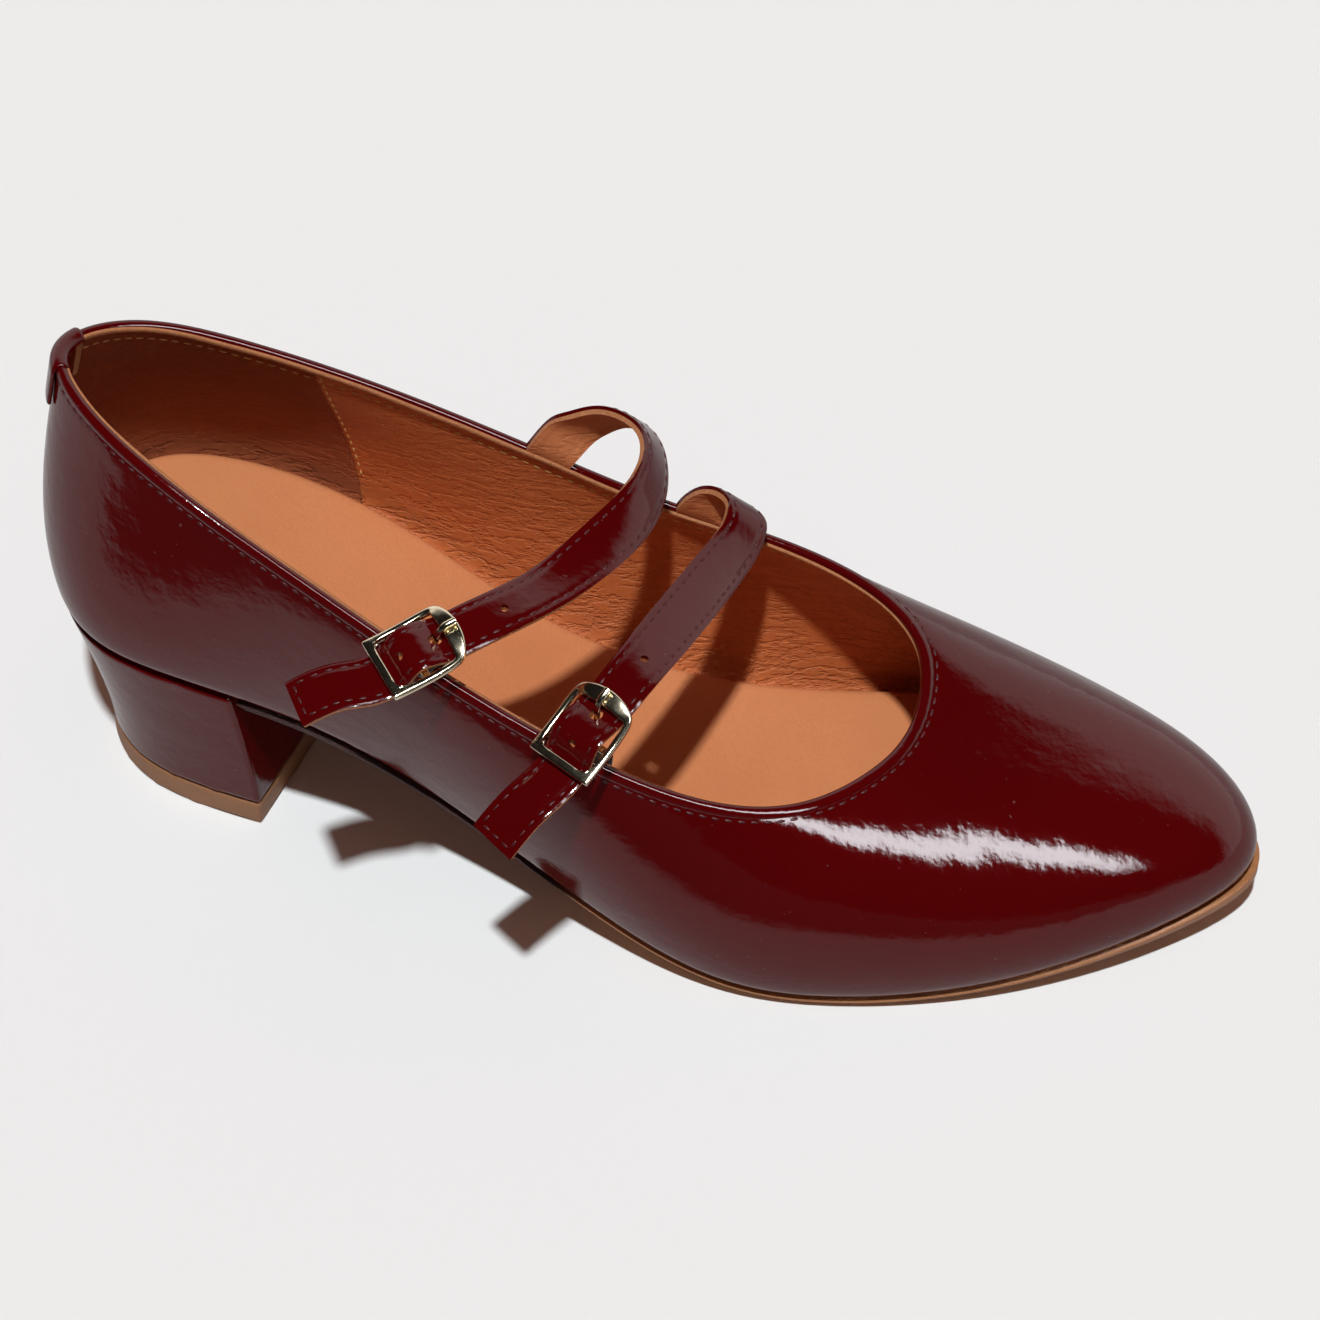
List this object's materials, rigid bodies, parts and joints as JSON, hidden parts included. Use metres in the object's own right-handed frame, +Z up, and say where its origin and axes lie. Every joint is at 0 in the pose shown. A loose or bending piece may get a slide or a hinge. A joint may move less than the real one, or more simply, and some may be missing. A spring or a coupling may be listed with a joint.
{
  "type": "mary jane pump",
  "caption": "Right-foot mary jane pump in oxblood patent leather with a low covered block heel, an almond toe and buckled instep straps.",
  "frame": {"origin": "on the floor, under the middle of the shoe's bounding box", "axes": "+X to the toe, +Y to the inner (medial) side of this right shoe, +Z up"},
  "size_m": [0.2394, 0.0976, 0.0997],
  "materials": {
    "patent_leather": "dark oxblood patent leather, mirror gloss, with a tan leather lining",
    "heel_cover": "the same patent leather wrapped over a hard heel",
    "strap_leather": "patent leather backed with tan leather, stitched along both edges",
    "sole_leather": "tan sole leather, matt, with a burnished edge",
    "sock_leather": "smooth tan leather with a fine grain over a thin pad",
    "top_piece_rubber": "tan rubber, matt",
    "buckle_metal": "pale gold plating, polished",
    "elastic_webbing": "black ribbed elastic"
  },
  "bodies": {
    "root": {"upper": "patent_leather", "outsole": "sole_leather", "insole": "sock_leather", "heel_block": "heel_cover", "heel_top_piece": "top_piece_rubber", "strap_rear": "strap_leather", "buckle_rear": "buckle_metal", "prong_rear": "buckle_metal", "elastic_rear": "elastic_webbing", "strap_front": "strap_leather", "buckle_front": "buckle_metal", "prong_front": "buckle_metal", "elastic_front": "elastic_webbing"}
  },
  "joints": []
}
